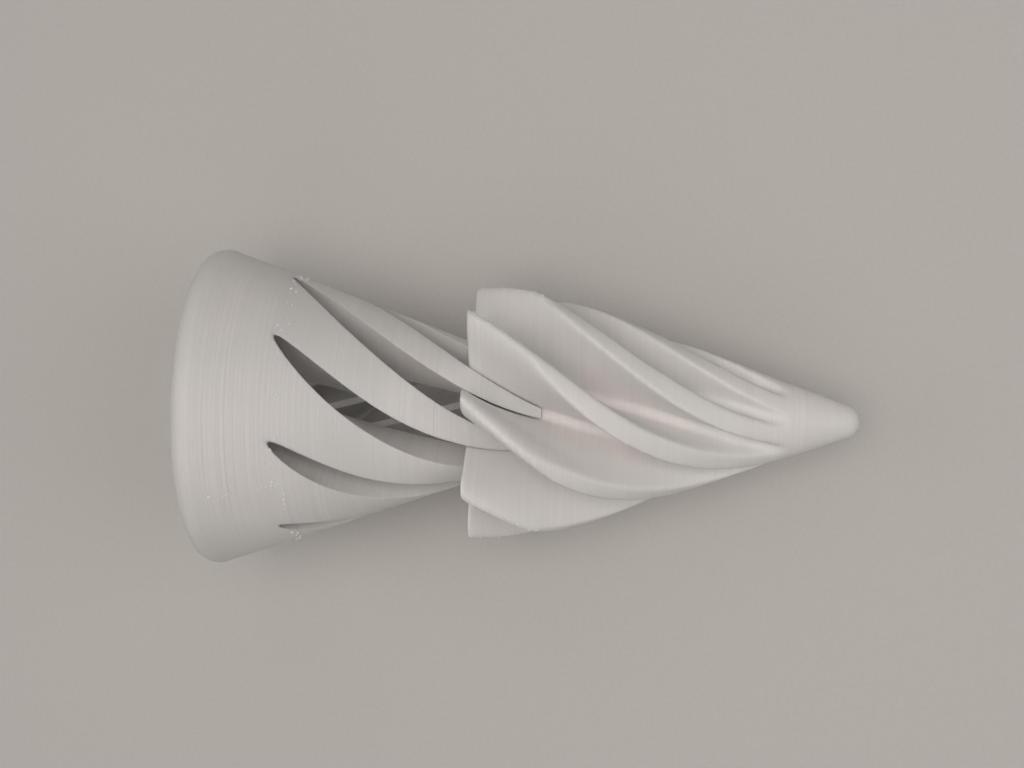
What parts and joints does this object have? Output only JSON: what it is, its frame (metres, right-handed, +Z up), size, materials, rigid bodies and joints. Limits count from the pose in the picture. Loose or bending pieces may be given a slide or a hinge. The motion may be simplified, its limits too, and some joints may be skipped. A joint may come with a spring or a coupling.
{
  "type": "pass-through screw cone",
  "caption": "Slotted spiral cone with free tapering fingers, and a finned screw cone that winds through it; a printed hand toy that turns as it slides.",
  "frame": {"origin": "on the surface it lies on, under the middle of its box", "axes": "+X towards the nose of the screw cone, along the pair as it lies; +Z up; the common axis runs along +X and slopes down 6.55 degrees towards the nose"},
  "size_m": [0.1202, 0.0573, 0.057],
  "materials": {
    "slotted_cone_print": "white PLA, fused-filament print, fine layer lines round the axis, matt",
    "screw_cone_print": "white PLA, fused-filament print, fine layer lines round the axis, matt"
  },
  "bodies": {
    "outer_cone": {"slotted_cone": "slotted_cone_print"},
    "screw_nose": {"nose_tip": "screw_cone_print"},
    "screw_cone": {"finned_cone": "screw_cone_print"}
  },
  "joints": [
    {"name": "screw_travel", "type": "slide", "parent": "outer_cone", "child": "screw_nose", "axis": [0.9935, 0, -0.1141], "range_m": [-0.0485, 0.0125]},
    {"name": "screw_turn", "type": "hinge", "parent": "screw_nose", "child": "screw_cone", "pos_m": [-0.05716, 0, 0.02886], "axis": [0.9935, 0, -0.1141], "range_deg": [-105, 28]}
  ],
  "couplings": [
    {"joint": "screw_turn", "follows": "screw_travel", "rad_per_m": 37.4}
  ]
}
